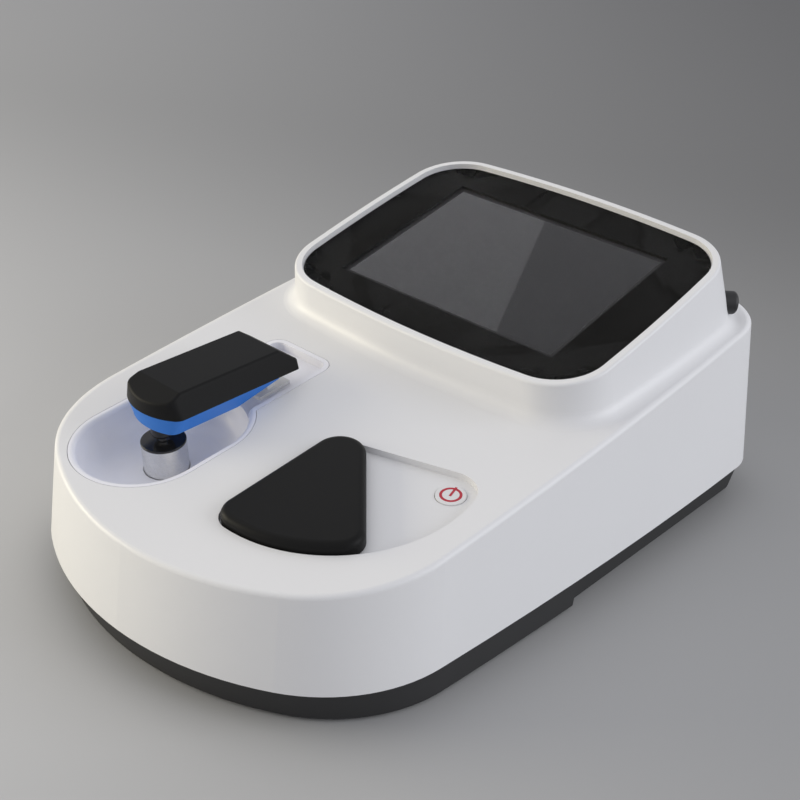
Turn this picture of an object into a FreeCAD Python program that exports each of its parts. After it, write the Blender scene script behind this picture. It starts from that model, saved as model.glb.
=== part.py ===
# Microvolume spectrophotometer: a low bench instrument with a touch display, a hinged
# measuring arm over a small pedestal, and a swinging lid over a cuvette port.
# Frame: millimetres, origin at the bottom centre, +X to the user's right, +Y from the
# rounded nose to the rear, +Z up.
import FreeCAD, Part
import math
import os

os.makedirs("parts", exist_ok=True)

# Driving dimensions of the housing
DEPTH = 322.0
FOOT_H = 1.5
BASE_H = 15.5
SHELL_Z = FOOT_H + BASE_H
DRAFT = 0.08
REAR_DRAFT = 0.075
REAR_SPREAD = 0.11
WALL = 2.6
NOSE_R = 129.3
SHOULDER_R = 68.3
SIDE_R = 2596.0
NOSE_TURN = 0.5364
SHOULDER_TURN = 1.5108
REAR_R = 27.0
NOSE_Y = -DEPTH / 2
TAIL_Y = DEPTH / 2

# Sloping deck
DECK_FRONT_H = 38.1
DECK_SLOPE = 0.1321
DECK_DEG = math.degrees(math.atan(DECK_SLOPE))
DECK_Z = SHELL_Z + DECK_FRONT_H
CREASE_R = 2.0
REAR_CREASE_R = 5.5

# Display hump, measured in the plane of the display glass
HUMP_Y = 61.9
HUMP_Z = 111.1
HUMP_DEG = 14.49
GLASS_A = 83.3
GLASS_B = 65.3
GLASS_R = 24.0
GLASS_BOW_A = 2.2
GLASS_BOW_B = 5.3
GLASS_T = 2.2
GLASS_SINK = 0.2
RIM = 3.7
HUMP_FLARE = 0.15
HUMP_DROP = 48.0
HUMP_ROOT_R = 6.0
HUMP_TOP_T = 5.0
LEDGE = 7.0
LCD_W = 116.0
LCD_H = 84.4
GASKET_T = 0.5
LCD_GAP = 1.5

# Sample well and its insert tray, in the deck's own frame (x, v along the deck, n up)
ARM_X = -43.0
WELL_R = 30.2
WELL_V0 = 48.4
WELL_V1 = 70.0
WELL_D = 18.0
SLOT_HALF = 18.4
SLOT_STEP = 1.6
SLOT_WALL = 1.0
SLOT_V1 = 142.0
SLOT_R = 7.0
SLOT_D = 4.0
TRAY_RIM = 3.0
TRAY_ROUND = 2.0
TRAY_SEAT = 2.0
TRAY_GAP = 0.25
TRAY_T = 1.5
BOWL_LEAN = 3.0
BOWL_FLOOR_R = 13.5
PED_V = 58.5
PED_R = 9.5
PED_TOP_N = -4.0
PED_CAP_T = 0.9

# Measuring arm, in its own frame (x, s along the seam of cover and pan, t up from the seam)
ARM_V = 60.0
ARM_N = 13.0
ARM_SLOPE = 0.1
ARM_DEG = math.degrees(math.atan(ARM_SLOPE))
ARM_HALF = 16.7
ARM_NOSE = -10.75
ARM_TAIL = 62.3
ARM_NOSE_R = 25.0
ARM_CORNER = 5.0
COVER_H = 10.25
COVER_TOP_HALF = 13.0
CHIN_T = 5.9
BROW_S = -1.0
RUMP_S = 53.3
RUMP_T = 4.6
PAN_H = 8.26
PAN_LOW_HALF = 12.8
PAN_LOW_NOSE = -8.0
PAN_RISE_S = 30.0
PAN_TAIL = 49.8
ARM_WALL = 1.6
HINGE_V = 115.0
HINGE_N = 7.5
PIN_R = 2.0
RUN_FIT = 0.05
HINGE_R = 4.4
NECK_R = 4.7
BAR_HALF = 7.0
PAN_SCREW_S = 20.0
PAN_SCREW_X = 4.5

# Cuvette lid and its sector recess
LID_X = 24.5
LID_V = 92.8
LID_R = 58.6
LID_EDGE = 10.8
LID_LEFT = -89.5
LID_RIGHT = -47.2
LID_T = 6.9
LID_LIFT = 0.4
LID_CORNER = 9.0
LID_PIN_R = 3.0
LID_PIN_TOP = 2.0
LID_WALL = 2.0
RECESS_GAP = 0.8
RECESS_RIGHT = 15.2
RECESS_CORNERS = (9.5, 12.5)
RECESS_BOSS = 2.4
RECESS_D = 3.0
CUV_X = 30.9
CUV_V = 54.6
CUV_HALF = 6.4
BUTTON_X = 71.2
BUTTON_V = 106.0
BUTTON_R = 6.2
BUTTON_TRAVEL = 0.8
BUTTON_GAP = 0.2

# Base, fixings and rear connector plate
BASE_T = 3.0
BASE_NOSE_BACK = 5.5
BASE_TAIL_FORWARD = 8.0
GRIP_X = 98.4
GRIP_Y = -3.0
GRIP_WALL = 3.4
LIP_H = 5.0
LIP_GAP = 0.35
LIP_T = 1.9
POSTS = ((82.0, -98.0), (91.6, 10.0), (84.0, 132.0))
POST_R = 4.5
SCREW_R = 1.3
SCREW_HEAD_R = 3.0
FOOT_R = 8.0
FEET = ((62.0, -112.0), (80.0, 122.0))
PLATE_Z = 14.0
PLATE_T = 3.0
PLATE_POSTS = ((-74.0, -60.0), (66.0, -60.0), (-74.0, 66.0), (66.0, 66.0))
PANEL_HALF = 62.0
PANEL_Z0 = 26.0
PANEL_Z1 = 58.0
PANEL_T = 2.0
PANEL_Y = TAIL_Y - 12.5
STUB_X = 61.0
STUB_Y = 103.0
STUB_Z = 100.9
STUB_R = 5.4
STUB_END_R = 2.0
STUB_L0 = 22.0
STUB_L1 = 36.4
BEYOND = 400.0

V = FreeCAD.Vector
X_AXIS = V(1, 0, 0)
Y_AXIS = V(0, 1, 0)
Z_AXIS = V(0, 0, 1)


def save(node, shape):
    """Write one node as a STEP file."""
    if len(shape.Solids) == 1:
        shape = shape.Solids[0]
    print(node, "valid", shape.isValid(), "solids", len(shape.Solids), "volume", round(shape.Volume, 1))
    shape.exportStep("parts/" + node + ".step")


def box(x0, x1, y0, y1, z0, z1):
    return Part.makeBox(x1 - x0, y1 - y0, z1 - z0, V(x0, y0, z0))


def rod(x, y, z, radius, length, axis=Z_AXIS):
    return Part.makeCylinder(radius, length, V(x, y, z), axis)


def tube(x, y, z, outer, inner, length, axis=Z_AXIS):
    return rod(x, y, z, outer, length, axis).cut(rod(x, y, z, inner, length, axis))


def join(shapes):
    """Fuse a list of solids into one and drop the seams between them."""
    result = shapes[0]
    if len(shapes) > 1:
        result = result.fuse(shapes[1:])
    return result.removeSplitter()


def arc(centre, radius, start, end, z):
    """Arc edge about centre from one angle to another, in radians."""
    points = []
    for turn in (start, (start + end) / 2, end):
        points.append(V(centre[0] + radius * math.cos(turn), centre[1] + radius * math.sin(turn), z))
    return Part.Arc(*points).toShape()


def slab(points, z0, z1):
    """Upright solid on a polygon."""
    ring = [V(p[0], p[1], z0) for p in points]
    return Part.Face(Part.makePolygon(ring + [ring[0]])).extrude(V(0, 0, z1 - z0))


def on_deck(shape):
    """Move a shape from the deck's frame (x, v, n) into the part's frame."""
    placed = shape.copy()
    placed.rotate(V(0, 0, 0), X_AXIS, DECK_DEG)
    placed.translate(V(0, NOSE_Y, DECK_Z))
    return placed


def on_display(shape):
    """Move a shape from the display's frame (x, u, w) into the part's frame."""
    placed = shape.copy()
    placed.rotate(V(0, 0, 0), X_AXIS, HUMP_DEG)
    placed.translate(V(0, HUMP_Y, HUMP_Z))
    return placed


def on_arm(shape):
    """Move a shape from the arm's frame (x, s, t) into the deck's frame."""
    placed = shape.copy()
    placed.rotate(V(0, 0, 0), X_AXIS, -ARM_DEG)
    placed.translate(V(ARM_X, ARM_V, ARM_N))
    return placed


def deck_height(y):
    return DECK_Z + DECK_SLOPE * (y - NOSE_Y)


# Housing outline: a broad nose, two shoulders, nearly straight sides and rounded rear corners
def housing_wire(inset, z, nose_back=0.0, tail_forward=0.0, rear_grow=0.0):
    rear_r = REAR_R + rear_grow
    nose = NOSE_Y + nose_back
    tail = TAIL_Y - tail_forward
    r1 = NOSE_R
    r2 = SHOULDER_R
    c1 = (0.0, nose + r1)
    c2 = (c1[0] + (r1 - r2) * math.sin(NOSE_TURN), c1[1] - (r1 - r2) * math.cos(NOSE_TURN))
    c3 = (c2[0] + (r2 - SIDE_R) * math.sin(SHOULDER_TURN), c2[1] - (r2 - SIDE_R) * math.cos(SHOULDER_TURN))
    reach = SIDE_R - rear_r
    turn3 = math.acos((c3[1] + rear_r - tail) / reach)
    c4 = (c3[0] + reach * math.sin(turn3), c3[1] - reach * math.cos(turn3))
    quarter = math.pi / 2
    spans = [
        (c1, r1, 0.0, NOSE_TURN),
        (c2, r2, NOSE_TURN, SHOULDER_TURN),
        (c3, SIDE_R, SHOULDER_TURN, turn3),
        (c4, rear_r, turn3, math.pi),
    ]
    edges = []
    for centre, radius, start, end in spans:
        edges.append(arc(centre, radius - inset, start - quarter, end - quarter, z))
    edges.append(Part.LineSegment(V(c4[0], tail - inset, z), V(-c4[0], tail - inset, z)).toShape())
    for centre, radius, start, end in reversed(spans):
        mirrored = (-centre[0], centre[1])
        edges.append(arc(mirrored, radius - inset, math.pi - (end - quarter), math.pi - (start - quarter), z))
    return Part.Wire(edges)


# Display outline: a rounded rectangle whose four sides bow outwards
def bowed_wire(grow, w, shift=0.0, extra_a=0.0, extra_b=0.0):
    a = GLASS_A + grow + extra_a
    b = GLASS_B + grow + extra_b
    r = GLASS_R + grow
    top_r = (GLASS_A ** 2 + GLASS_BOW_B ** 2) / (2 * GLASS_BOW_B) + grow
    side_r = (GLASS_B ** 2 + GLASS_BOW_A ** 2) / (2 * GLASS_BOW_A) + grow
    # corner circle inside both bow circles
    p0 = (a - side_r, 0.0)
    p1 = (0.0, b - top_r)
    r0 = side_r - r
    r1 = top_r - r
    gap = math.hypot(p1[0] - p0[0], p1[1] - p0[1])
    along = (r0 * r0 - r1 * r1 + gap * gap) / (2 * gap)
    off = math.sqrt(r0 * r0 - along * along)
    ux = (p1[0] - p0[0]) / gap
    uy = (p1[1] - p0[1]) / gap
    corner = max(
        (p0[0] + along * ux - off * uy, p0[1] + along * uy + off * ux),
        (p0[0] + along * ux + off * uy, p0[1] + along * uy - off * ux),
    )
    side_turn = math.atan2(corner[1], corner[0] - p0[0])
    top_turn = math.atan2(corner[1] - p1[1], corner[0])
    edges = []
    for quarter in range(4):
        flip_x = 1 if quarter in (0, 3) else -1
        flip_y = 1 if quarter in (0, 1) else -1
        start, end = (side_turn, top_turn) if quarter in (0, 2) else (top_turn, side_turn)
        points = []
        for turn in (start, (start + end) / 2, end):
            x = flip_x * (corner[0] + r * math.cos(turn))
            y = flip_y * (corner[1] + r * math.sin(turn)) + shift
            points.append(V(x, y, w))
        edges.append(Part.Arc(*points).toShape())
        end_point = points[2]
        if quarter in (0, 2):
            middle = V(0, flip_y * b + shift, w)
            other = V(-end_point.x, end_point.y, w)
        else:
            middle = V(flip_x * a, shift, w)
            other = V(end_point.x, 2 * shift - end_point.y, w)
        edges.append(Part.Arc(end_point, middle, other).toShape())
    return Part.Wire(edges)


def drafted_body(inset, z0, z1):
    """Housing walls between two heights, leaning inwards with the draft."""
    wires = []
    for z in (z0, z1):
        rise = z - SHELL_Z
        wires.append(housing_wire(inset + DRAFT * rise, z, 0.0, REAR_DRAFT * rise, REAR_SPREAD * rise))
    return Part.makeLoft(wires, True, True)


def above_deck(n):
    return on_deck(box(-BEYOND, BEYOND, -BEYOND, BEYOND, n, n + BEYOND))


def hump(grow, w_top):
    """Display hump: walls square to the glass, flaring a little towards the deck."""
    drop = HUMP_DROP
    top = bowed_wire(RIM + grow, w_top)
    low = bowed_wire(RIM + grow, -drop, 1.5, HUMP_FLARE * drop, 0.08 * drop)
    return on_display(Part.makeLoft([top, low], True, True))


# Rounded sector about the lid pivot, used by the lid and by its recess
def sector_wire(edge, radius, left_deg, right_deg, n):
    left = math.radians(left_deg)
    right = math.radians(right_deg)
    lean = math.asin(edge / radius)
    centre = (LID_X, LID_V)
    apex = arc(centre, edge, left - math.pi / 2 + 2 * math.pi, right + math.pi / 2, n)
    rim = arc(centre, radius, left - lean, right + lean, n)
    apex_left = V(LID_X + edge * math.cos(left - math.pi / 2), LID_V + edge * math.sin(left - math.pi / 2), n)
    apex_right = V(LID_X + edge * math.cos(right + math.pi / 2), LID_V + edge * math.sin(right + math.pi / 2), n)
    rim_left = V(LID_X + radius * math.cos(left - lean), LID_V + radius * math.sin(left - lean), n)
    rim_right = V(LID_X + radius * math.cos(right + lean), LID_V + radius * math.sin(right + lean), n)
    left_side = Part.LineSegment(apex_left, rim_left).toShape()
    right_side = Part.LineSegment(rim_right, apex_right).toShape()
    return Part.Wire([apex, left_side, rim, right_side])


def sector(edge, radius, left_deg, right_deg, n0, n1, corners):
    """Upright solid on the sector outline, its left and right outer corners rounded."""
    solid = Part.Face(sector_wire(edge, radius, left_deg, right_deg, n0)).extrude(V(0, 0, n1 - n0))
    for pick, corner_r in zip((0, -1), corners):
        upright = []
        for e in solid.Edges:
            start, end = e.Vertexes[0].Point, e.Vertexes[-1].Point
            far = math.hypot(start.x - LID_X, start.y - LID_V) > radius * 0.9
            if far and abs(start.z - end.z) > (n1 - n0) * 0.9:
                upright.append(e)
        upright.sort(key=lambda e: e.Vertexes[0].Point.y)
        solid = solid.makeFillet(corner_r, [upright[pick]])
    return solid


def slot_block(half, end, n0, n1, corner_r):
    """Straight part of the arm's slot, with rounded rear corners."""
    block = box(ARM_X - half, ARM_X + half, WELL_V1, end, n0, n1)
    corners = []
    for e in block.Edges:
        start, finish = e.Vertexes[0].Point, e.Vertexes[-1].Point
        if abs(start.z - finish.z) > 0.1 and start.y > end - 0.1:
            corners.append(e)
    return block.makeFillet(corner_r, corners)


# Outline of the well insert: an oval bowl joined to the arm's slot
def well_solid(grow, n0, n1):
    height = n1 - n0
    front = rod(ARM_X, WELL_V0, n0, WELL_R + grow, height)
    back = rod(ARM_X, WELL_V1, n0, WELL_R + grow, height)
    middle = box(ARM_X - WELL_R - grow, ARM_X + WELL_R + grow, WELL_V0, WELL_V1, n0, n1)
    slot = slot_block(SLOT_HALF + grow, SLOT_V1 + grow, n0, n1, SLOT_R + grow)
    return join([front, back, middle, slot])


def oval_wire(radius, n):
    """Outline of two half circles joined by straight sides, along the well."""
    front = Part.Arc(V(ARM_X + radius, WELL_V0, n), V(ARM_X, WELL_V0 - radius, n), V(ARM_X - radius, WELL_V0, n))
    back = Part.Arc(V(ARM_X - radius, WELL_V1, n), V(ARM_X, WELL_V1 + radius, n), V(ARM_X + radius, WELL_V1, n))
    left = Part.LineSegment(V(ARM_X - radius, WELL_V0, n), V(ARM_X - radius, WELL_V1, n))
    right = Part.LineSegment(V(ARM_X + radius, WELL_V1, n), V(ARM_X + radius, WELL_V0, n))
    return Part.Wire([front.toShape(), left.toShape(), back.toShape(), right.toShape()])


def bowl_cavity(grow, depth):
    """Dished hollow of the well: an oval that narrows towards a rounded floor."""
    radius = WELL_R - TRAY_RIM + grow
    solid = Part.makeLoft([oval_wire(radius, 0.0), oval_wire(radius - BOWL_LEAN, -depth)], True, True)
    floor_edges = [e for e in solid.Edges if e.BoundBox.ZMax < -depth + 0.01]
    return solid.makeFillet(BOWL_FLOOR_R + grow, floor_edges)


# White upper housing
def rounded_crease(body):
    """Round the crease between walls and deck: tight at the nose, wider towards the rear."""
    edges = []
    for index, e in enumerate(body.Edges):
        start = e.valueAt(e.FirstParameter)
        end = e.valueAt(e.LastParameter)
        middle = e.valueAt((e.FirstParameter + e.LastParameter) / 2)
        if abs(middle.z - deck_height(middle.y)) > 0.01:
            continue
        radii = []
        for point in (start, end):
            radii.append(REAR_CREASE_R if point.y > HUMP_Y else CREASE_R)
        edges.append((index + 1, radii[0], radii[1]))
    document = FreeCAD.newDocument("crease")
    base = document.addObject("Part::Feature", "Body")
    base.Shape = body
    fillet = document.addObject("Part::Fillet", "Fillet")
    fillet.Base = base
    fillet.Edges = edges
    document.recompute()
    rounded = fillet.Shape.copy()
    FreeCAD.closeDocument(document.Name)
    return rounded


def filleted_shell():
    """Outer skin: drafted walls under the sloping deck, with the display hump on top."""
    outer = rounded_crease(drafted_body(0.0, SHELL_Z, deck_height(TAIL_Y) + 6).cut(above_deck(0.0)))
    crown = hump(0.0, 0.0)
    rim = []
    for e in crown.Edges:
        middle = e.valueAt((e.FirstParameter + e.LastParameter) / 2)
        glass_z = HUMP_Z + math.tan(math.radians(HUMP_DEG)) * (middle.y - HUMP_Y)
        if abs(middle.z - glass_z) < 0.01:
            rim.append(e)
    crown = crown.makeFillet(1.2, rim)
    outer = outer.fuse(crown).removeSplitter()
    root = []
    for e in outer.Edges:
        middle = e.valueAt((e.FirstParameter + e.LastParameter) / 2)
        on_plane = abs(middle.z - deck_height(middle.y)) < 0.05
        if on_plane and crown.distToShape(Part.Vertex(middle))[0] < 0.02:
            root.append(e)
    return outer.makeFillet(HUMP_ROOT_R, root)


def both_sides(points):
    """A list of (x, y) points and their mirror images."""
    return [(side * x, y) for x, y in points for side in (1, -1)]


def stub_rod(end_round=0.0):
    """Round stub square to the rear right corner of the hump."""
    stub = rod(STUB_L0, 0, 0, STUB_R, STUB_L1 - STUB_L0, X_AXIS)
    if end_round:
        stub = stub.makeFillet(end_round, [e for e in stub.Edges if e.BoundBox.XMin > STUB_L1 - 0.1])
    stub.rotate(V(0, 0, 0), Z_AXIS, 45.0)
    stub.translate(V(STUB_X, STUB_Y, STUB_Z))
    return stub


def recess(margin, n0, n1):
    """Sector recess of the lid, grown by a margin, between two depths."""
    edge = LID_EDGE + RECESS_GAP + margin
    radius = LID_R + RECESS_GAP + margin
    return on_deck(sector(edge, radius, LID_LEFT, RECESS_RIGHT, n0, n1, RECESS_CORNERS))


def upper_housing():
    cavity = drafted_body(WALL, SHELL_Z - 1.0, deck_height(TAIL_Y) + 6).cut(above_deck(-WALL))
    cavity = cavity.fuse(hump(-WALL, -HUMP_TOP_T))
    cavity = cavity.cut(recess(RECESS_BOSS, -RECESS_D, 1.0))
    cavity = cavity.cut(on_deck(well_solid(2.0, -TRAY_SEAT - 2.4, 1.0)))
    back = PANEL_HALF + 5
    cavity = cavity.cut(box(-back, back, PANEL_Y + PANEL_T, TAIL_Y + 9, PANEL_Z0 - 5, PANEL_Z1 + 5))
    for x, y in both_sides(POSTS):
        cavity = cavity.cut(rod(x, y, SHELL_Z - 1, POST_R, 100))
    shell = filleted_shell().cut(cavity)
    shell = shell.cut(box(-BEYOND, BEYOND, -BEYOND, BEYOND, SHELL_Z - 2, SHELL_Z))
    for x, y in both_sides(POSTS):
        shell = shell.cut(rod(x, y, SHELL_Z - 1, SCREW_R, 13))
    shell = shell.cut(on_deck(well_solid(0.0, -TRAY_SEAT, 6.0)))
    shell = shell.cut(on_deck(well_solid(-1.4, -12.0, 0.0)))
    shell = shell.cut(recess(0.0, -RECESS_D - 1.0, 6.0))
    seat = -GLASS_T - GLASS_SINK - GASKET_T
    pocket = Part.Face(bowed_wire(0.25, seat)).extrude(V(0, 0, 6))
    window = Part.Face(bowed_wire(-LEDGE, -12)).extrude(V(0, 0, 12))
    shell = shell.cut(on_display(pocket)).cut(on_display(window))
    opening = box(-PANEL_HALF + 3, PANEL_HALF - 3, PANEL_Y, TAIL_Y + 9, PANEL_Z0 + 3, PANEL_Z1 - 3)
    return shell.cut(opening).cut(stub_rod())


save("upper_housing", upper_housing())

# Recess floor: a plate welded under the recess, which carries the lid, the port and the button
FLOOR_N = -RECESS_D - WALL
below = FLOOR_N - 1.0
through = WALL + 2.0
floor = recess(RECESS_BOSS, FLOOR_N, -RECESS_D)
floor = floor.cut(on_deck(rod(LID_X, LID_V, below, LID_PIN_R + RUN_FIT, through)))
floor = floor.cut(on_deck(rod(BUTTON_X, BUTTON_V, below, BUTTON_R + BUTTON_GAP, through)))
port = box(CUV_X - CUV_HALF, CUV_X + CUV_HALF, CUV_V - CUV_HALF, CUV_V + CUV_HALF, below, 0)
floor = floor.cut(on_deck(port))
for x, y in both_sides(POSTS):
    floor = floor.cut(rod(x, y, SHELL_Z, POST_R + TRAY_GAP, 100))
save("recess_floor", floor)


# Dark base: a tray under the housing, narrower along the rear half of each side as a hand grip
def base_housing():
    low = housing_wire(1.5, FOOT_H, BASE_NOSE_BACK, BASE_TAIL_FORWARD)
    high = housing_wire(0.9, SHELL_Z)
    body = Part.makeLoft([low, high], True, True)
    bottom = [e for e in body.Edges if e.BoundBox.ZMax < FOOT_H + 0.01]
    body = body.makeFillet(1.2, bottom)
    low = housing_wire(1.5 + BASE_T, FOOT_H + BASE_T, BASE_NOSE_BACK, BASE_TAIL_FORWARD)
    high = housing_wire(0.9 + BASE_T, SHELL_Z + 1)
    hollow = Part.makeLoft([low, high], True, True)
    for side in (1, -1):
        far = side * (GRIP_X + 22)
        near = side * (GRIP_X - GRIP_WALL)
        back = TAIL_Y + 9
        front = GRIP_Y - 4
        grip = [(side * GRIP_X, GRIP_Y + 4), (far, GRIP_Y - 10), (far, back), (side * GRIP_X, back)]
        wall = [(near, front), (far, front - 14), (far, back), (near, back)]
        body = body.cut(slab(grip, 0, SHELL_Z - 1.2))
        hollow = hollow.cut(slab(wall, 0, SHELL_Z + 2))
    for x, y in both_sides(POSTS):
        hollow = hollow.cut(rod(x, y, 0, POST_R, SHELL_Z + 5))
    for x, y in PLATE_POSTS:
        hollow = hollow.cut(rod(x, y, 0, 4.0, PLATE_Z))
    body = body.cut(hollow)
    lip = drafted_body(WALL + LIP_GAP, SHELL_Z - 2.0, SHELL_Z + LIP_H)
    lip = lip.cut(drafted_body(WALL + LIP_GAP + LIP_T, SHELL_Z - 3.0, SHELL_Z + LIP_H + 1))
    for x, y in both_sides(POSTS):
        lip = lip.cut(rod(x, y, SHELL_Z - 4, POST_R + 0.4, 20))
    lip = lip.cut(box(-PANEL_HALF - 6, PANEL_HALF + 6, TAIL_Y - 21, TAIL_Y + 9, 0, 60))
    body = body.fuse(lip)
    for x, y in both_sides(POSTS):
        body = body.cut(rod(x, y, 0, SCREW_R + 0.3, SHELL_Z + 1))
        body = body.cut(rod(x, y, 0, SCREW_HEAD_R + 0.3, 6.0))
    for x, y in both_sides(FEET):
        body = body.cut(rod(x, y, 0, FOOT_R + 0.2, FOOT_H + 0.8))
    for row in range(7):
        for x in (-40.0, 40.0):
            y = 30.0 + 6.0 * row
            body = body.cut(box(x - 16, x + 16, y - 1.2, y + 1.2, 0, FOOT_H + BASE_T + 1))
    return body.removeSplitter()


save("base_housing", base_housing())

for index, (x, y) in enumerate(both_sides(FEET)):
    foot = rod(x, y, 0, FOOT_R, FOOT_H + 0.8)
    foot = foot.makeFillet(0.5, [e for e in foot.Edges if e.BoundBox.ZMax < 0.01])
    save("foot_%d" % index, foot)

for index, (x, y) in enumerate(both_sides(POSTS)):
    screw = join([rod(x, y, 3.6, SCREW_HEAD_R, 2.4), rod(x, y, 5.5, SCREW_R, 22.0)])
    screw = screw.cut(rod(x, y, 3.0, 1.2, 1.8))
    save("base_screw_%d" % index, screw)


# Insert of the sample well: dished bowl, shallow slot for the arm and a flush rounded rim
def well_tray():
    rim = well_solid(-TRAY_GAP, -TRAY_SEAT, 0.0)
    bowl = bowl_cavity(TRAY_T, WELL_D + TRAY_T)
    half = SLOT_HALF - SLOT_STEP
    end = SLOT_V1 - SLOT_STEP
    corner = SLOT_R - SLOT_STEP
    trough = slot_block(half, end, -SLOT_D - TRAY_T, -TRAY_SEAT, corner)
    tray = join([rim, bowl, trough])
    channel = slot_block(half - SLOT_WALL, end - SLOT_WALL, -SLOT_D, 1.0, corner - SLOT_WALL)
    tray = tray.cut(bowl_cavity(0.0, WELL_D)).cut(channel).removeSplitter()
    tray = rounded_rim(tray)
    return tray.cut(rod(ARM_X, PED_V, -WELL_D - 5, PED_R + 0.35, 10))


def rounded_rim(tray):
    """Round the upper edge of the bowl where it meets the rim."""
    edges = []
    for e in tray.Edges:
        if max(abs(e.BoundBox.ZMax), abs(e.BoundBox.ZMin)) > 0.01:
            continue
        middle = e.valueAt((e.FirstParameter + e.LastParameter) / 2)
        reach = math.hypot(middle.x - ARM_X, max(WELL_V0 - middle.y, middle.y - WELL_V1, 0.0))
        if abs(reach - WELL_R + TRAY_RIM) < 0.1:
            edges.append(e)
    return tray.makeFillet(TRAY_ROUND, edges)


save("well_tray", on_deck(well_tray()))


# Lower pedestal: steel sleeve with a clamping flange, black cap, moving ferrule and its seal
FLANGE_N = -WELL_D - TRAY_T
SLEEVE_BORE = PIN_R + RUN_FIT
sleeve_top = PED_TOP_N - PED_CAP_T
sleeve = join([
    rod(ARM_X, PED_V, FLANGE_N - 3.0, PED_R, sleeve_top - FLANGE_N + 3.0),
    rod(ARM_X, PED_V, FLANGE_N - 3.0, PED_R + 3.5, 3.0),
])
save("pedestal_sleeve", on_deck(sleeve.cut(rod(ARM_X, PED_V, FLANGE_N - 4, SLEEVE_BORE, 40))))
cap = rod(ARM_X, PED_V, sleeve_top, PED_R, PED_CAP_T)
cap = cap.makeFillet(0.4, [e for e in cap.Edges if e.BoundBox.ZMin > PED_TOP_N - 0.01])
save("pedestal_cap", on_deck(cap.cut(rod(ARM_X, PED_V, -20, PIN_R + 0.4, 30))))
ferrule = rod(ARM_X, PED_V, FLANGE_N - 8.0, PIN_R, PED_TOP_N + 0.1 - FLANGE_N + 8.0)
save("lower_ferrule", on_deck(ferrule))
save("ferrule_guide", on_deck(tube(ARM_X, PED_V, FLANGE_N - 7.0, 5.0, PIN_R + 0.3, 4.0)))

# Arm hinge on the slot floor: bracket with two ears, and a pin through them
EAR_X0 = 4.6
EAR_X1 = 7.6
bracket = box(ARM_X - EAR_X1 - 2, ARM_X + EAR_X1 + 2, HINGE_V - 11, HINGE_V + 7, -SLOT_D, -SLOT_D + 1.6)
for side in (1, -1):
    x0 = ARM_X + (EAR_X0 if side > 0 else -EAR_X1)
    ear = rod(x0, HINGE_V, HINGE_N, HINGE_R, EAR_X1 - EAR_X0, X_AXIS)
    web = box(x0, x0 + EAR_X1 - EAR_X0, HINGE_V - HINGE_R, HINGE_V, -SLOT_D, HINGE_N)
    bracket = join([bracket, ear, web])
bracket = bracket.cut(rod(ARM_X - 20, HINGE_V, HINGE_N, PIN_R, 40, X_AXIS))
save("hinge_bracket", on_deck(bracket))
pin_half = EAR_X1 + 0.8
pin = rod(ARM_X - pin_half, HINGE_V, HINGE_N, PIN_R, 2 * pin_half, X_AXIS)
save("hinge_pin", on_deck(pin.makeChamfer(0.4, [pin.Edges[0], pin.Edges[2]])))


# Measuring arm: black cover over a blue tapered pan, closed in the photograph's pose
def arm_wire(half, nose, tail, nose_r, corner, t):
    """Plan of the arm: bowed nose with rounded corners, straight sides and a square rear."""
    middle = nose + nose_r
    reach = nose_r - corner
    corner_x = half - corner
    corner_s = middle - math.sqrt(reach ** 2 - corner_x ** 2)
    turn = math.atan2(corner_s - middle, corner_x)
    on_nose = (nose_r * math.cos(turn), middle + nose_r * math.sin(turn))
    edges = [
        Part.Arc(V(-on_nose[0], on_nose[1], t), V(0, nose, t), V(on_nose[0], on_nose[1], t)).toShape(),
        arc((corner_x, corner_s), corner, turn, 0.0, t),
        Part.LineSegment(V(half, corner_s, t), V(half, tail, t)).toShape(),
        Part.LineSegment(V(half, tail, t), V(-half, tail, t)).toShape(),
        Part.LineSegment(V(-half, tail, t), V(-half, corner_s, t)).toShape(),
        arc((-corner_x, corner_s), corner, math.pi, math.pi - turn, t),
    ]
    return Part.Wire(edges)


def trimmed(solid, s0, t0, s1, t1, inset):
    """Cut away all that lies above the line from (s0, t0) to (s1, t1), moved inwards by inset."""
    length = math.hypot(s1 - s0, t1 - t0)
    normal = V(0, -(t1 - t0) / length, (s1 - s0) / length)
    cutter = Part.makeBox(BEYOND, BEYOND, BEYOND, V(-BEYOND / 2, -BEYOND / 2, 0))
    cutter.Placement = FreeCAD.Placement(V(0, s0, t0) - normal * inset, FreeCAD.Rotation(Z_AXIS, normal))
    return solid.cut(cutter)


def cover_solid(inset, low):
    corner = ARM_CORNER - inset
    nose = ARM_NOSE + inset
    tail = ARM_TAIL - inset
    lean = (ARM_HALF - COVER_TOP_HALF) / COVER_H
    wires = []
    for t in (-low, COVER_H + 2):
        wires.append(arm_wire(ARM_HALF - lean * t - inset, nose, tail, ARM_NOSE_R, corner, t))
    solid = Part.makeLoft(wires, True, True)
    solid = trimmed(solid, 0, COVER_H, 10, COVER_H, inset)
    solid = trimmed(solid, ARM_NOSE, CHIN_T, BROW_S, COVER_H, inset)
    return trimmed(solid, RUMP_S, COVER_H, ARM_TAIL - 1, RUMP_T, inset)


def pan_solid(inset, high):
    corner = ARM_CORNER - inset
    lean = (ARM_HALF - PAN_LOW_HALF) / PAN_H
    rake = (PAN_LOW_NOSE - ARM_NOSE) / PAN_H
    wires = []
    for t in (high, -PAN_H + inset):
        half = ARM_HALF + lean * t - inset
        wires.append(arm_wire(half, ARM_NOSE - rake * t + inset, PAN_TAIL, ARM_NOSE_R, corner, t))
    solid = Part.makeLoft(wires, True, True)
    return trimmed(solid, PAN_TAIL + 2.5, 0.0, PAN_RISE_S, -PAN_H, inset)


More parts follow.
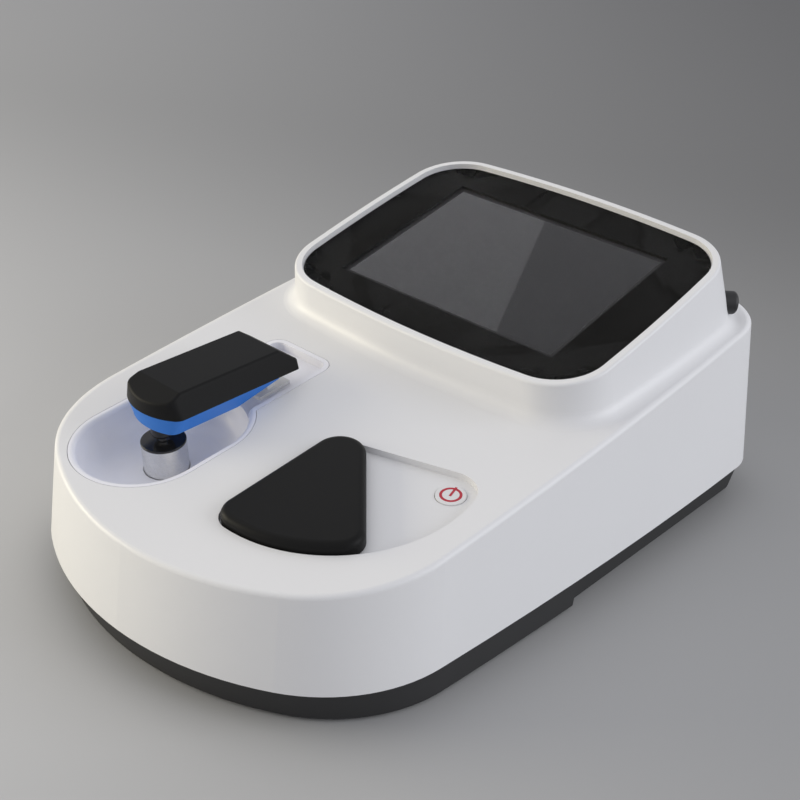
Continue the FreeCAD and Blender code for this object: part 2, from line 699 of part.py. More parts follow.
def profile(points, half):
    """Polygon in the arm's (s, t) plane, as thick as two times half."""
    ring = [V(-half, p[0], p[1]) for p in points]
    return Part.Face(Part.makePolygon(ring + [ring[0]])).extrude(V(2 * half, 0, 0))


cover = cover_solid(0.0, 0.0)
cover = cover.makeFillet(1.5, [e for e in cover.Edges if e.BoundBox.ZMax > 0.1])
save("arm_cover", on_deck(on_arm(cover.cut(cover_solid(ARM_WALL, 1.0)))))
pan = pan_solid(0.0, 0.0)
pan = pan.makeFillet(0.8, [e for e in pan.Edges if e.BoundBox.ZMax < -0.2])
pan = pan.cut(pan_solid(ARM_WALL, 1.0))
for side in (1, -1):
    pan = pan.cut(rod(side * PAN_SCREW_X, PAN_SCREW_S, -PAN_H - 1, 1.0, PAN_H))
pan = on_arm(pan).cut(rod(ARM_X, PED_V, 0, NECK_R, ARM_N - 1))
save("arm_pan", on_deck(pan))

# Alloy bar inside the arm, with the hinge lug at its rear end
turn = math.radians(ARM_DEG)
HINGE_S = (HINGE_V - ARM_V) * math.cos(turn) - (HINGE_N - ARM_N) * math.sin(turn)
HINGE_T = (HINGE_V - ARM_V) * math.sin(turn) + (HINGE_N - ARM_N) * math.cos(turn)
BAR_T0 = -PAN_H + ARM_WALL
BAR_T1 = -0.2
LUG_HALF = EAR_X0 - 0.3
LUG_R = HINGE_R - 0.1
head = rod(0, -1.0, BAR_T0, BAR_HALF, BAR_T1 - BAR_T0).common(pan_solid(ARM_WALL, 0.0))
wide = [(-1, BAR_T0), (29.2, BAR_T0), (43, -1.6), (43, 3.6), (30, BAR_T1), (-1, BAR_T1)]
narrow = [(36, -4.1), (51, 1.45), (HINGE_S, HINGE_T), (HINGE_S, HINGE_T + LUG_R), (40, HINGE_T + LUG_R), (36, 1.2)]
lug = rod(-LUG_HALF, HINGE_S, HINGE_T, LUG_R, 2 * LUG_HALF, X_AXIS)
bar = join([head, profile(wide, BAR_HALF), profile(narrow, LUG_HALF), lug])
bar = bar.cut(rod(-20, HINGE_S, HINGE_T, PIN_R + RUN_FIT, 40, X_AXIS))
for side in (1, -1):
    bar = bar.cut(rod(side * PAN_SCREW_X, PAN_SCREW_S, -PAN_H, 0.8, PAN_H))
bar = on_arm(bar).cut(rod(ARM_X, PED_V, 0, PIN_R, 20))
save("arm_frame", on_deck(bar))
neck = rod(ARM_X, PED_V, -1.4, NECK_R, 10.0)
neck = neck.makeFillet(1.2, [e for e in neck.Edges if e.BoundBox.ZMax < -1.3])
save("upper_neck", on_deck(neck.cut(bar).cut(rod(ARM_X, PED_V, -5, PIN_R, 20))))
save("upper_ferrule", on_deck(rod(ARM_X, PED_V, PED_TOP_N + 0.7, PIN_R, 16.0)))
for index, side in enumerate((1, -1)):
    x = side * PAN_SCREW_X
    base = -PAN_H - 0.4
    screw = join([rod(x, PAN_SCREW_S, base, 1.9, 0.4), rod(x, PAN_SCREW_S, base, 0.8, 5.0)])
    save("pan_screw_%d" % index, on_deck(on_arm(screw)))


# Cuvette lid: a thick rounded sector that swings about a pin near its point
LID_N0 = -RECESS_D + LID_LIFT
LID_N1 = LID_N0 + LID_T
lid = sector(LID_EDGE, LID_R, LID_LEFT, LID_RIGHT, LID_N0, LID_N1, (LID_CORNER, LID_CORNER))
lid = lid.makeFillet(3.0, [e for e in lid.Edges if e.BoundBox.ZMin > LID_N1 - 0.01])
lid = lid.makeFillet(0.5, [e for e in lid.Edges if e.BoundBox.ZMax < LID_N0 + 0.01])
inner_edge = LID_EDGE - LID_WALL
inner_r = LID_R - LID_WALL
inner_corners = (LID_CORNER - LID_WALL, LID_CORNER - LID_WALL)
hollow = sector(inner_edge, inner_r, LID_LEFT, LID_RIGHT, LID_N0 - 1, LID_N1 - LID_WALL, inner_corners)
hollow = hollow.cut(rod(LID_X, LID_V, -10, LID_PIN_R + 2.0, 20))
lid = lid.cut(hollow).cut(rod(LID_X, LID_V, -10, LID_PIN_R, 10 + LID_PIN_TOP))
save("cuvette_lid", on_deck(lid))
save("lid_pin", on_deck(rod(LID_X, LID_V, FLOOR_N - 2.4, LID_PIN_R, LID_PIN_TOP - FLOOR_N + 2.4)))
save("lid_retainer", on_deck(tube(LID_X, LID_V, FLOOR_N - 1.4, 6.5, LID_PIN_R, 1.2)))
save("lid_glide", on_deck(tube(LID_X, LID_V, -RECESS_D, 8.0, LID_PIN_R + 0.4, LID_LIFT - 0.08)))

# Cuvette well under the port, with a light window on both sides
CUV_T = 3.0
outer_half = CUV_HALF + CUV_T
well = box(CUV_X - outer_half, CUV_X + outer_half, CUV_V - outer_half, CUV_V + outer_half, -44.0, FLOOR_N)
well = well.cut(box(CUV_X - CUV_HALF, CUV_X + CUV_HALF, CUV_V - CUV_HALF, CUV_V + CUV_HALF, -41.0, 0))
well = well.cut(rod(CUV_X - 20, CUV_V, -32.0, 2.5, 40, X_AXIS))
save("cuvette_well", on_deck(well))

# Power button in the recess floor, with its switch below
button = join([
    rod(BUTTON_X, BUTTON_V, FLOOR_N - 0.6, BUTTON_R, 0.5 - RECESS_D - FLOOR_N + 0.6),
    rod(BUTTON_X, BUTTON_V, FLOOR_N - 1.2, BUTTON_R + 1.4, 1.0),
    rod(BUTTON_X, BUTTON_V, FLOOR_N - 3.0, 2.0, 3.0),
])
button = button.makeFillet(0.4, [e for e in button.Edges if e.BoundBox.ZMin > -RECESS_D + 0.49])
save("power_button", on_deck(button))
switch_top = FLOOR_N - 3.0 - BUTTON_TRAVEL - 0.2
switch = join([
    box(BUTTON_X - 3, BUTTON_X + 3, BUTTON_V - 3, BUTTON_V + 3, switch_top - 3.4, switch_top),
    box(BUTTON_X - 9, BUTTON_X + 9, BUTTON_V - 9, BUTTON_V + 9, switch_top - 5.0, switch_top - 3.4),
    rod(BUTTON_X - 7.5, BUTTON_V + 7.5, switch_top - 5.0, 1.2, FLOOR_N - switch_top + 5.0),
    rod(BUTTON_X - 7.5, BUTTON_V - 7.5, switch_top - 5.0, 1.2, FLOOR_N - switch_top + 5.0),
])
save("power_switch", on_deck(switch))

# Display stack under the glass
glass = Part.Face(bowed_wire(0.0, -GLASS_T - GLASS_SINK)).extrude(V(0, 0, GLASS_T))
save("display_glass", on_display(glass))
GASKET_TOP = -GLASS_T - GLASS_SINK
LCD_TOP = GASKET_TOP - LCD_GAP
SHIELD_X = LCD_W / 2 + 5
SHIELD_Y = LCD_H / 2 + 5
WINDOW_X = LCD_W / 2 + 2.5
WINDOW_Y = LCD_H / 2 + 2.5
save("lcd_module", on_display(box(-SHIELD_X, SHIELD_X, -SHIELD_Y, SHIELD_Y, LCD_TOP - 6.0, LCD_TOP)))
gasket = Part.Face(bowed_wire(-0.3, GASKET_TOP - GASKET_T)).extrude(V(0, 0, GASKET_T))
gasket = gasket.fuse(box(-SHIELD_X, SHIELD_X, -SHIELD_Y, SHIELD_Y, LCD_TOP, GASKET_TOP))
gasket = gasket.cut(box(-WINDOW_X, WINDOW_X, -WINDOW_Y, WINDOW_Y, LCD_TOP - 1, 0))
save("display_gasket", on_display(gasket.removeSplitter()))
CARRIER_X = SHIELD_X + 9.0
CARRIER_Y = SHIELD_Y + 4.8
carrier = box(-CARRIER_X, CARRIER_X, -CARRIER_Y, CARRIER_Y, LCD_TOP - 7.5, LCD_TOP - 6.0)
for sx in (1, -1):
    for sy in (1, -1):
        block = box(sx * 74 - 7, sx * 74 + 7, sy * 38 - 5, sy * 38 + 5, LCD_TOP - 7.5, -HUMP_TOP_T)
        carrier = carrier.fuse(block)
carrier = carrier.cut(box(-SHIELD_X, SHIELD_X, -SHIELD_Y, SHIELD_Y, LCD_TOP - 6.0, 2))
save("display_carrier", on_display(carrier.removeSplitter()))
save("display_board", on_display(box(-48, 48, -34, 34, LCD_TOP - 9.1, LCD_TOP - 7.5)))

# Optics and electronics inside
plate = box(-82, 74, -68, 74, PLATE_Z, PLATE_Z + PLATE_T)
plate = plate.cut(box(CUV_X - 16, 76, -70, -48, 0, 40))
save("optics_plate", plate)
bench_z = PLATE_Z + PLATE_T
save("spectrometer", box(-78, -8, -2, 62, bench_z, bench_z + 34))
save("detector_board", box(-8, -6.4, 4, 56, bench_z, bench_z + 30))
save("lamp_housing", box(12, 56, -8, 40, bench_z, bench_z + 32))
save("main_board", box(-60, 56, -52, 58, FOOT_H + BASE_T, FOOT_H + BASE_T + 1.6))
save("power_board", box(-76, 76, 84, 126, FOOT_H + BASE_T, FOOT_H + BASE_T + 1.6))

# Rear connector plate with its sockets and rocker switch
ROCKER_X = PANEL_HALF - 16.0
ROCKER_Z = 42.0
SOCKETS = (
    ("dc_inlet", PANEL_HALF - 35.0, 9.0, 11.0),
    ("usb_port_0", PANEL_HALF - 56.0, 13.4, 6.0),
    ("usb_port_1", PANEL_HALF - 74.0, 13.4, 6.0),
    ("lan_port", PANEL_HALF - 96.0, 15.6, 13.0),
)
SOCKET_WALL = 0.7
SOCKET_DEPTH = 10.0
panel = box(-PANEL_HALF, PANEL_HALF, PANEL_Y, PANEL_Y + PANEL_T, PANEL_Z0, PANEL_Z1)
for node, x, w, h in SOCKETS:
    panel = panel.cut(box(x - w / 2, x + w / 2, PANEL_Y - 1, PANEL_Y + 5, ROCKER_Z - h / 2, ROCKER_Z + h / 2))
panel = panel.cut(box(ROCKER_X - 5.5, ROCKER_X + 5.5, PANEL_Y - 1, PANEL_Y + 5, ROCKER_Z - 10, ROCKER_Z + 10))
save("rear_panel", panel)
for node, x, w, h in SOCKETS:
    mouth = PANEL_Y + PANEL_T + 0.4
    body = box(x - w / 2, x + w / 2, PANEL_Y - 14.0, mouth, ROCKER_Z - h / 2, ROCKER_Z + h / 2)
    if node == "dc_inlet":
        body = body.cut(rod(x, mouth - SOCKET_DEPTH, ROCKER_Z, 3.2, SOCKET_DEPTH + 1, Y_AXIS))
        save("dc_pin", rod(x, mouth - SOCKET_DEPTH, ROCKER_Z, 1.0, SOCKET_DEPTH - 1, Y_AXIS))
    else:
        half_w = w / 2 - SOCKET_WALL
        half_h = h / 2 - SOCKET_WALL
        body = body.cut(box(x - half_w, x + half_w, mouth - SOCKET_DEPTH, mouth + 1,
                            ROCKER_Z - half_h, ROCKER_Z + half_h))
    if node.startswith("usb"):
        body = body.fuse(box(x - 5, x + 5, mouth - SOCKET_DEPTH - 1, mouth - 1.5, ROCKER_Z - 0.2, ROCKER_Z + 1.2))
    save(node, body)

# Rocker switch: frame with two bearings, rocker on a small axle
AXLE_Y = PANEL_Y - 4.0
frame = join([
    box(ROCKER_X - 7, ROCKER_X + 7, PANEL_Y + PANEL_T, PANEL_Y + PANEL_T + 0.8, ROCKER_Z - 11.5, ROCKER_Z + 11.5),
    box(ROCKER_X - 5.5, ROCKER_X + 5.5, PANEL_Y - 12, PANEL_Y + PANEL_T, ROCKER_Z - 10, ROCKER_Z + 10),
])
frame = frame.cut(box(ROCKER_X - 4.2, ROCKER_X + 4.2, PANEL_Y - 10, PANEL_Y + 5, ROCKER_Z - 8.8, ROCKER_Z + 8.8))
frame = frame.cut(rod(ROCKER_X - 5.2, AXLE_Y, ROCKER_Z, 1.0 + RUN_FIT, 10.4, X_AXIS))
save("rocker_frame", frame)
rocker = join([
    box(ROCKER_X - 4.0, ROCKER_X + 4.0, AXLE_Y - 2, AXLE_Y + 7.6, ROCKER_Z - 6.4, ROCKER_Z + 6.4),
    rod(ROCKER_X - 5.0, AXLE_Y, ROCKER_Z, 1.0, 10.0, X_AXIS),
])
dish = rod(ROCKER_X - 6, AXLE_Y + 25.4, ROCKER_Z, 19.0, 12, X_AXIS)
rocker = rocker.cut(dish)
rocker.rotate(V(ROCKER_X, AXLE_Y, ROCKER_Z), X_AXIS, -8.0)
save("rocker", rocker)

# Short black stub at the rear right corner of the hump
save("rear_stub", stub_rod(STUB_END_R))
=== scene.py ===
import math

import bmesh
import bpy
from mathutils import Matrix, Vector


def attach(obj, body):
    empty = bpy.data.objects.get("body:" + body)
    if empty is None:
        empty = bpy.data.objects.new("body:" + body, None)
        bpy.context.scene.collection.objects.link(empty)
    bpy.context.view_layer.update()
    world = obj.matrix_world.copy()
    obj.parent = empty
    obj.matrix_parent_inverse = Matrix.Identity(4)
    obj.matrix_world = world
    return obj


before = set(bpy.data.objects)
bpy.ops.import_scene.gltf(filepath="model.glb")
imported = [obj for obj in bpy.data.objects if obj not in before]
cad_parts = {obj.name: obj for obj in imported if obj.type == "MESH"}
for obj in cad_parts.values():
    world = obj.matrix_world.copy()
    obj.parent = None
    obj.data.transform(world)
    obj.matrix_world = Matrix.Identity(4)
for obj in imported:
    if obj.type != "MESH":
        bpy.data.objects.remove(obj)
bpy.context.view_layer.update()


# The bench top and the studio: a floor whose colour carries painted shade, darker toward the rear
# right, a small box overhead, a warm card low on the left, a cool card on the right, a card that
# only the display mirrors, and the camera that looks down on the right front corner.
def set_input(shader, name, value):
    shader.inputs[name].default_value = value


def area_light(name, place, aim, size, power, colour):
    lamp = bpy.data.lights.new(name, "AREA")
    lamp.shape = "RECTANGLE"
    lamp.size, lamp.size_y = size
    lamp.energy = power
    lamp.color = colour
    holder = bpy.data.objects.new(name, lamp)
    bpy.context.scene.collection.objects.link(holder)
    holder.location = place
    holder.rotation_euler = (Vector(aim) - Vector(place)).to_track_quat("-Z", "Y").to_euler()
    return holder


def math_node(tree, operation, first, second):
    node = tree.nodes.new("ShaderNodeMath")
    node.operation = operation
    for slot, value in enumerate((first, second)):
        if isinstance(value, (int, float)):
            node.inputs[slot].default_value = value
        else:
            tree.links.new(value, node.inputs[slot])
    return node.outputs[0]


def mix_colour(tree, amount, first, second):
    node = tree.nodes.new("ShaderNodeMix")
    node.data_type = "RGBA"
    for slot, value in ((0, amount), (6, first), (7, second)):
        if isinstance(value, (int, float, tuple)):
            node.inputs[slot].default_value = value
        else:
            tree.links.new(value, node.inputs[slot])
    return node.outputs[2]


def fade(tree, spot, heading, start, width, depth):
    direction = tree.nodes.new("ShaderNodeVectorMath")
    direction.operation = "DOT_PRODUCT"
    direction.inputs[1].default_value = (math.cos(heading), math.sin(heading), 0)
    tree.links.new(spot, direction.inputs[0])
    ramp = tree.nodes.new("ShaderNodeMapRange")
    ramp.interpolation_type = "SMOOTHSTEP"
    ramp.inputs["From Min"].default_value = start
    ramp.inputs["From Max"].default_value = start + width
    ramp.inputs["To Max"].default_value = depth
    tree.links.new(direction.outputs["Value"], ramp.inputs["Value"])
    return ramp.outputs["Result"]


floor_mesh = bpy.data.meshes.new("bench_top")
reach = 6.0
floor_mesh.from_pydata(
    [(-reach, -reach, 0), (reach, -reach, 0), (reach, reach, 0), (-reach, reach, 0)], [], [(0, 1, 2, 3)])
floor = bpy.data.objects.new("bench_top", floor_mesh)
bpy.context.scene.collection.objects.link(floor)
bench = bpy.data.materials.new("bench_painted_shade")
bench.use_nodes = True
bench_shader = bench.node_tree.nodes["Principled BSDF"]
set_input(bench_shader, "Roughness", 0.6)
bench_tree = bench.node_tree
spot = bench_tree.nodes.new("ShaderNodeTexCoord").outputs["Object"]
# Painted shade: two smooth ramps darken the floor's colour, standing in for light falling off across the
# bench.
far_painted_shade = fade(bench_tree, spot, heading=0.5817, start=-0.7962, width=1.7299, depth=1.4194)
left_painted_shade = fade(bench_tree, spot, heading=2.1173, start=-0.0829, width=0.7046, depth=0.7278)
both_painted_shades = math_node(bench_tree, "ADD", far_painted_shade, left_painted_shade)
painted_shade_tone = math_node(bench_tree, "POWER", math.exp(-1), both_painted_shades)
palest = (0.834, 0.834, 0.834, 1)
painted_shade_colour = mix_colour(bench_tree, painted_shade_tone, (0, 0, 0, 1), palest)
bench_tree.links.new(painted_shade_colour, bench_shader.inputs["Base Color"])
floor_mesh.materials.append(bench)

middle = (0, 0, 0.05)
area_light("overhead_box", (-0.75, -0.15, 1.4), middle, (0.9, 0.9), 1.5, (1.0, 0.99, 0.97))
area_light("left_card", (-1.2, -0.9, 0.34), (0, -0.05, 0.05), (1.0, 0.6), 14.5, (1.0, 0.92, 0.70))
area_light("right_card", (1.3, 0.65, 0.6), middle, (1.0, 1.0), 9.5, (0.94, 0.96, 1.0))
glare_place = (-0.7523, 0.6038, 0.8774)
glare_size = (0.338, 0.404)
glare_card = area_light("glare_card", glare_place, middle, glare_size, 0.19, (0.96, 0.96, 1.0))
glare_edge = Vector((-0.0324, -0.8314, 0.5548))
glare_back = -Vector((0.5263, -0.4861, -0.6977))
glare_turn = Matrix((glare_edge.cross(glare_back), glare_edge, glare_back)).transposed()
glare_card.rotation_euler = glare_turn.to_euler()

world = bpy.data.worlds.new("studio_air")
bpy.context.scene.world = world
world.use_nodes = True
air = world.node_tree.nodes["Background"]
set_input(air, "Color", (0.95, 0.955, 1.0, 1))
set_input(air, "Strength", 0.60)

turn, tip, roll = 0.6798, 0.4912, 0.0901
level = Vector((math.cos(turn), math.sin(turn), 0))
away = Vector((math.sin(turn) * math.cos(tip), -math.cos(turn) * math.cos(tip), math.sin(tip)))
raised = away.cross(level)
right = math.cos(roll) * level + math.sin(roll) * raised
upward = -math.sin(roll) * level + math.cos(roll) * raised
eye = Vector((0.3218, -0.4018, 0.3340))
camera_data = bpy.data.cameras.new("bench_camera")
camera_data.sensor_width = 36.0
camera_data.lens = 58.77
camera_data.clip_end = 30.0
camera = bpy.data.objects.new("bench_camera", camera_data)
bpy.context.scene.collection.objects.link(camera)
camera.matrix_world = Matrix((
    (right.x, upward.x, away.x, eye.x),
    (right.y, upward.y, away.y, eye.y),
    (right.z, upward.z, away.z, eye.z),
    (0, 0, 0, 1),
))
bpy.context.scene.camera = camera
bpy.context.scene.view_settings.view_transform = "Standard"


# Base tray: dark grey ABS, injection moulded with a fine spark texture, screwed up into the white
# housing at six posts. The texture and the tone drift of moulded plastic are shared by all plastics.
def new_group(name, inputs, outputs):
    group = bpy.data.node_groups.new(name, "ShaderNodeTree")
    for label, kind, value in inputs:
        socket = group.interface.new_socket(name=label, in_out="INPUT", socket_type=kind)
        socket.default_value = value
    for label, kind in outputs:
        group.interface.new_socket(name=label, in_out="OUTPUT", socket_type=kind)
    return group, group.nodes.new("NodeGroupInput"), group.nodes.new("NodeGroupOutput")


def noise(tree, place, scale, detail):
    texture = tree.nodes.new("ShaderNodeTexNoise")
    texture.inputs["Scale"].default_value = scale
    texture.inputs["Detail"].default_value = detail
    tree.links.new(place, texture.inputs["Vector"])
    return texture.outputs["Fac"]


moulded, taken, given = new_group(
    "moulded_surface",
    [("Light tone", "NodeSocketColor", (0.8, 0.8, 0.8, 1)),
     ("Deep tone", "NodeSocketColor", (0.7, 0.7, 0.7, 1)),
     ("Roughness", "NodeSocketFloat", 0.5),
     ("Grain size", "NodeSocketFloat", 1800.0),
     ("Grain depth", "NodeSocketFloat", 0.05)],
    [("Colour", "NodeSocketColor"), ("Roughness", "NodeSocketFloat"), ("Height", "NodeSocketFloat")])
place = moulded.nodes.new("ShaderNodeTexCoord").outputs["Object"]
drift = noise(moulded, place, 9.0, 3.0)
speckle = noise(moulded, place, 420.0, 2.0)
grain = noise(moulded, place, 1.0, 1.0)
moulded.links.new(taken.outputs["Grain size"], grain.node.inputs["Scale"])
drift_share = math_node(moulded, "MULTIPLY", drift, 0.75)
speckle_share = math_node(moulded, "MULTIPLY", speckle, 0.25)
tone = math_node(moulded, "ADD", drift_share, speckle_share)
shade = mix_colour(moulded, tone, taken.outputs["Deep tone"], taken.outputs["Light tone"])
moulded.links.new(shade, given.inputs["Colour"])
uneven = math_node(moulded, "MULTIPLY", math_node(moulded, "SUBTRACT", drift, 0.5), 0.12)
rough = math_node(moulded, "ADD", taken.outputs["Roughness"], uneven)
moulded.links.new(rough, given.inputs["Roughness"])
relief = math_node(moulded, "MULTIPLY", grain, taken.outputs["Grain depth"])
moulded.links.new(relief, given.inputs["Height"])


def moulded_plastic(name, light, deep, roughness, grain_size=1800.0, grain_depth=0.05, specular=0.5):
    material = bpy.data.materials.new(name)
    material.use_nodes = True
    tree = material.node_tree
    shader = tree.nodes["Principled BSDF"]
    surface = tree.nodes.new("ShaderNodeGroup")
    surface.node_tree = moulded
    for label, value in (("Light tone", (*light, 1)), ("Deep tone", (*deep, 1)), ("Roughness", roughness),
                         ("Grain size", grain_size), ("Grain depth", grain_depth)):
        surface.inputs[label].default_value = value
    bump = tree.nodes.new("ShaderNodeBump")
    bump.inputs["Strength"].default_value = 0.35
    bump.inputs["Distance"].default_value = 0.0004
    tree.links.new(surface.outputs["Colour"], shader.inputs["Base Color"])
    tree.links.new(surface.outputs["Roughness"], shader.inputs["Roughness"])
    tree.links.new(surface.outputs["Height"], bump.inputs["Height"])
    tree.links.new(bump.outputs["Normal"], shader.inputs["Normal"])
    set_input(shader, "Specular IOR Level", specular)
    return material


def finish_node(name, material):
    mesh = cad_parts[name].data
    mesh.materials.clear()
    mesh.materials.append(material)
    mesh.shade_smooth()


base_plastic = moulded_plastic(
    "base_plastic", (0.034, 0.034, 0.035), (0.027, 0.027, 0.028), 0.55, specular=0.3)
finish_node("base_housing", base_plastic)


# Feet and screws under the base: four soft rubber discs glued in shallow seats, and six plated
# cap screws that pull the base up against the posts of the housing.
foot_rubber = moulded_plastic("foot_rubber", (0.022, 0.022, 0.022), (0.014, 0.014, 0.014), 0.8, 900.0, 0.1)
for index in range(4):
    finish_node("foot_%d" % index, foot_rubber)


def metal(name, colour, roughness, along=None):
    material = bpy.data.materials.new(name)
    material.use_nodes = True
    tree = material.node_tree
    shader = tree.nodes["Principled BSDF"]
    place = tree.nodes.new("ShaderNodeTexCoord").outputs["Object"]
    if along:
        stretch = tree.nodes.new("ShaderNodeMapping")
        stretch.inputs["Scale"].default_value = along
        tree.links.new(place, stretch.inputs["Vector"])
        place = stretch.outputs["Vector"]
    streak = noise(tree, place, 700.0, 3.0)
    groove_tone = 0.82
    deep = tuple(value * groove_tone for value in colour)
    tree.links.new(mix_colour(tree, streak, (*deep, 1), (*colour, 1)), shader.inputs["Base Color"])
    tree.links.new(math_node(tree, "ADD", math_node(tree, "MULTIPLY", streak, 0.12), roughness - 0.06),
                   shader.inputs["Roughness"])
    bump = tree.nodes.new("ShaderNodeBump")
    bump.inputs["Strength"].default_value = 0.15
    bump.inputs["Distance"].default_value = 0.0002
    tree.links.new(streak, bump.inputs["Height"])
    tree.links.new(bump.outputs["Normal"], shader.inputs["Normal"])
    set_input(shader, "Metallic", 1.0)
    return material


plated_screw = metal("plated_screw", (0.55, 0.55, 0.57), 0.3)
for index in range(6):
    finish_node("base_screw_%d" % index, plated_screw)


# Upper housing: white ABS shell, with the sloping deck and the display hump in one moulding. The
# floor of the lid's recess is a plate of the same plastic, welded on from below.
housing_plastic = moulded_plastic(
    "housing_plastic", (0.80, 0.80, 0.81), (0.77, 0.77, 0.78), 0.42, 2200.0, 0.03)
finish_node("upper_housing", housing_plastic)
finish_node("recess_floor", housing_plastic)


# Well tray: smooth white moulded insert, dished round the pedestal, with the arm's shallow slot
# behind. It drops into the deck from above, so that spilt samples wipe off.
tray_plastic = moulded_plastic("tray_plastic", (0.86, 0.86, 0.91), (0.84, 0.84, 0.89), 0.34, 2200.0, 0.02)
finish_node("well_tray", tray_plastic)


# Pedestal: turned stainless sleeve with a black sealing cap pressed into its end. The polished
# lower ferrule slides in a white plastic guide inside it.
turned_steel = metal("turned_steel", (0.86, 0.86, 0.85), 0.26, (1.0, 1.0, 12.0))
ferrule_steel = metal("ferrule_steel", (0.66, 0.66, 0.67), 0.18)
cap_plastic = moulded_plastic("cap_plastic", (0.012, 0.012, 0.013), (0.009, 0.009, 0.010), 0.22, 2500.0, 0.01)
finish_node("pedestal_sleeve", turned_steel)
finish_node("pedestal_cap", cap_plastic)
finish_node("lower_ferrule", ferrule_steel)
guide_plastic = moulded_plastic("guide_plastic", (0.70, 0.70, 0.68), (0.62, 0.62, 0.60), 0.5)
finish_node("ferrule_guide", guide_plastic)


# Arm hinge: alloy bracket coated white, screwed to the slot floor, with a ground steel pin
# through it. The bare machined alloy bar inside the arm turns on that pin.
machined_alloy = metal("machined_alloy", (0.62, 0.62, 0.64), 0.4)
coated_alloy = moulded_plastic("coated_alloy", (0.72, 0.72, 0.73), (0.68, 0.68, 0.69), 0.45)
finish_node("hinge_bracket", coated_alloy)
finish_node("hinge_pin", ferrule_steel)
finish_node("arm_frame", machined_alloy)


# Measuring arm: black faceted cover over a blue tapered pan, both moulded, held to the alloy bar
# by two screws from below. The black neck under the nose carries the upper ferrule.
arm_black = moulded_plastic(
    "arm_black", (0.013, 0.013, 0.013), (0.009, 0.009, 0.009), 0.5, 1500.0, 0.04, 0.10)
arm_blue = moulded_plastic("arm_blue", (0.030, 0.190, 0.640), (0.026, 0.170, 0.580), 0.45, 1500.0, 0.04, 0.3)
finish_node("arm_cover", arm_black)
finish_node("arm_pan", arm_blue)
finish_node("upper_neck", cap_plastic)
finish_node("upper_ferrule", ferrule_steel)
for index in range(2):
    finish_node("pan_screw_%d" % index, plated_screw)


# Cuvette lid: a thick black moulding with a soft rolled edge, pressed on a steel pin. It turns on
# a white slip ring, above a black anodised well for the cuvette.
lid_black = moulded_plastic(
    "lid_black", (0.012, 0.012, 0.012), (0.008, 0.008, 0.008), 0.42, 1600.0, 0.03, 0.10)
finish_node("cuvette_lid", lid_black)
finish_node("lid_pin", ferrule_steel)
finish_node("lid_retainer", guide_plastic)
finish_node("lid_glide", guide_plastic)
black_alloy = metal("black_anodised", (0.05, 0.05, 0.055), 0.4)
finish_node("cuvette_well", black_alloy)


# Power button: round white key with a small push switch below it. The standby mark on its top is
# a thin layer of printed red ink, a ring and a bar, and travels with the key.
MM = 0.001
button_plastic = moulded_plastic("button_plastic", (0.78, 0.78, 0.79), (0.75, 0.75, 0.76), 0.36, 2200.0, 0.02)
finish_node("power_button", button_plastic)
finish_node("power_switch", cap_plastic)
ring_out, ring_in, ink = 4.5 * MM, 3.4 * MM, 0.05 * MM
half_bar, bar_start, bar_end, bar_ink = 0.48 * MM, -0.9 * MM, 5.1 * MM, 0.08 * MM
mark = bmesh.new()
steps = 72
ring_rows = []
for step in range(steps):
    angle = 2 * math.pi * step / steps
    ring_rows.append([mark.verts.new((r * math.cos(angle), r * math.sin(angle), h))
                      for r, h in ((ring_in, 0), (ring_out, 0), (ring_out, ink), (ring_in, ink))])
for step, row in enumerate(ring_rows):
    after = ring_rows[(step + 1) % steps]
    for side in range(4):
        mark.faces.new((row[side], row[(side + 1) % 4], after[(side + 1) % 4], after[side]))
bar_outline = ((-half_bar, bar_start), (half_bar, bar_start), (half_bar, bar_end), (-half_bar, bar_end))
low = [mark.verts.new((x, y, 0)) for x, y in bar_outline]
high = [mark.verts.new((x, y, bar_ink)) for x, y in bar_outline]
for side in range(4):
    mark.faces.new((low[side], low[(side + 1) % 4], high[(side + 1) % 4], high[side]))
mark.faces.new(low[::-1])
mark.faces.new(high)
bmesh.ops.recalc_face_normals(mark, faces=mark.faces)
mark_mesh = bpy.data.meshes.new("standby_mark")
mark.to_mesh(mark_mesh)
mark.free()
standby_mark = bpy.data.objects.new("standby_mark", mark_mesh)
bpy.context.scene.collection.objects.link(standby_mark)
deck_slope = math.atan(0.1321)
on_deck = Matrix.Translation((0, -161.0 * MM, 55.1 * MM)) @ Matrix.Rotation(deck_slope, 4, "X")
on_key = Matrix.Translation((71.2 * MM, 106.0 * MM, -2.5 * MM)) @ Matrix.Rotation(math.radians(14), 4, "Z")
mark_mesh.transform(on_deck @ on_key)
mark_ink = moulded_plastic("mark_ink", (0.50, 0.025, 0.045), (0.45, 0.02, 0.04), 0.5)
mark_mesh.materials.append(mark_ink)
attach(standby_mark, "button")


# Display: clear cover glass with an antireflection coat, on a black foam gasket that hides all
# round the panel. The switched-off panel has a glossy polariser over its dark picture area.
clear_glass = bpy.data.materials.new("cover_glass")
clear_glass.use_nodes = True
glass_shader = clear_glass.node_tree.nodes["Principled BSDF"]
set_input(glass_shader, "Base Color", (0.98, 0.98, 1.0, 1))
set_input(glass_shader, "Transmission Weight", 1.0)
set_input(glass_shader, "Roughness", 0.0)
set_input(glass_shader, "IOR", 1.45)
set_input(glass_shader, "Alpha", 0.01)
finish_node("display_glass", clear_glass)
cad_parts["display_glass"].data.shade_flat()
gasket_foam = moulded_plastic(
    "gasket_foam", (0.014, 0.014, 0.014), (0.012, 0.012, 0.012), 0.9, 1500.0, 0.02, 0.1)
finish_node("display_gasket", gasket_foam)

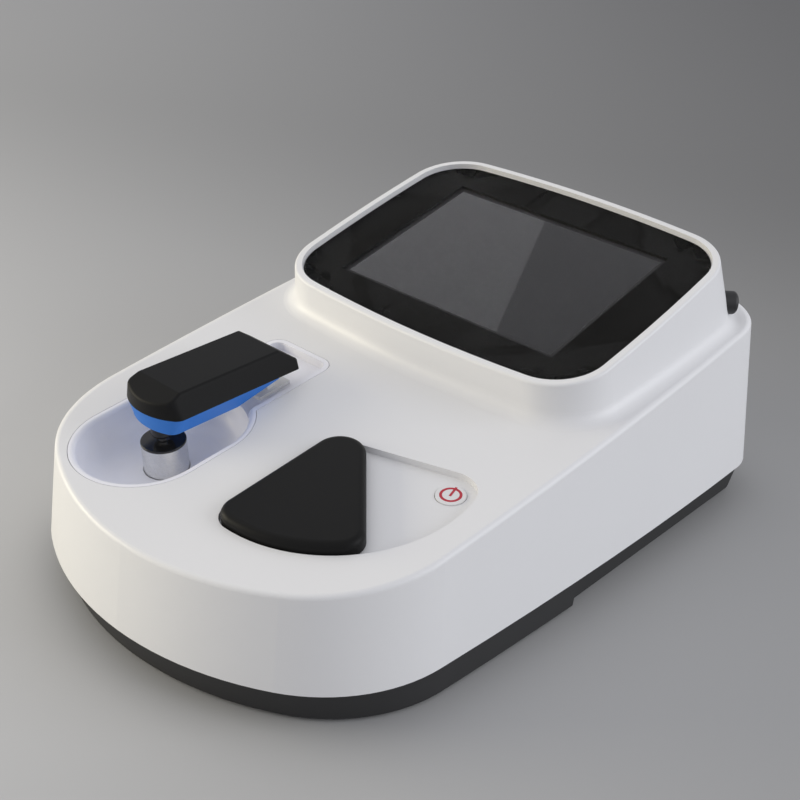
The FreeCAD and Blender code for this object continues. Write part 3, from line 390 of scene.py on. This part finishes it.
panel_film = bpy.data.materials.new("switched_off_panel")
panel_film.use_nodes = True
panel_tree = panel_film.node_tree
panel_shader = panel_tree.nodes["Principled BSDF"]
tilt = math.radians(14.49)
panel_middle = Vector((0, 61.9 * MM, 111.1 * MM))
picture_half = (("X", 58.0 * MM), ("Y", 42.2 * MM))
flat = panel_tree.nodes.new("ShaderNodeMapping")
flat.inputs["Rotation"].default_value = (-tilt, 0, 0)
flat.inputs["Location"].default_value = -(Matrix.Rotation(-tilt, 3, "X") @ panel_middle)
panel_tree.links.new(panel_tree.nodes.new("ShaderNodeTexCoord").outputs["Object"], flat.inputs["Vector"])
across = panel_tree.nodes.new("ShaderNodeSeparateXYZ")
panel_tree.links.new(flat.outputs["Vector"], across.inputs[0])
inside = []
for axis, half in picture_half:
    distance = math_node(panel_tree, "ABSOLUTE", across.outputs[axis], 0.0)
    inside.append(math_node(panel_tree, "LESS_THAN", distance, half))
picture = math_node(panel_tree, "MULTIPLY", inside[0], inside[1])
shield_tone, picture_tone = (0.012, 0.012, 0.013, 1), (0.010, 0.010, 0.011, 1)
panel_tone = mix_colour(panel_tree, picture, shield_tone, picture_tone)
panel_tree.links.new(panel_tone, panel_shader.inputs["Base Color"])
shield_roughness, polish = 0.62, 0.60
smoothing = math_node(panel_tree, "MULTIPLY", picture, polish)
panel_roughness = math_node(panel_tree, "SUBTRACT", shield_roughness, smoothing)
panel_tree.links.new(panel_roughness, panel_shader.inputs["Roughness"])
finish_node("lcd_module", panel_film)
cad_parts["lcd_module"].data.shade_flat()
finish_node("display_carrier", cap_plastic)


# Inside: green circuit boards on posts, and a machined alloy plate that carries the spectrometer
# block and the lamp housing, all screwed down in the base.
green_board = moulded_plastic("green_board", (0.02, 0.14, 0.06), (0.015, 0.11, 0.05), 0.45)
for name in ("display_board", "main_board", "power_board", "detector_board"):
    finish_node(name, green_board)
for name in ("optics_plate", "spectrometer", "lamp_housing"):
    finish_node(name, machined_alloy)


# Rear connector plate: black moulding behind an opening of the housing, with the supply inlet,
# plated data sockets and a rocker switch that clips in from outside.
rear_black = moulded_plastic("rear_black", (0.018, 0.018, 0.019), (0.014, 0.014, 0.015), 0.5)
for name in ("rear_panel", "dc_inlet", "rocker_frame", "rocker"):
    finish_node(name, rear_black)
for name in ("usb_port_0", "usb_port_1", "lan_port", "dc_pin"):
    finish_node(name, plated_screw)


# Stub at the rear corner of the hump: short round plug of the same black plastic, pressed into
# the housing.
finish_node("rear_stub", rear_black)
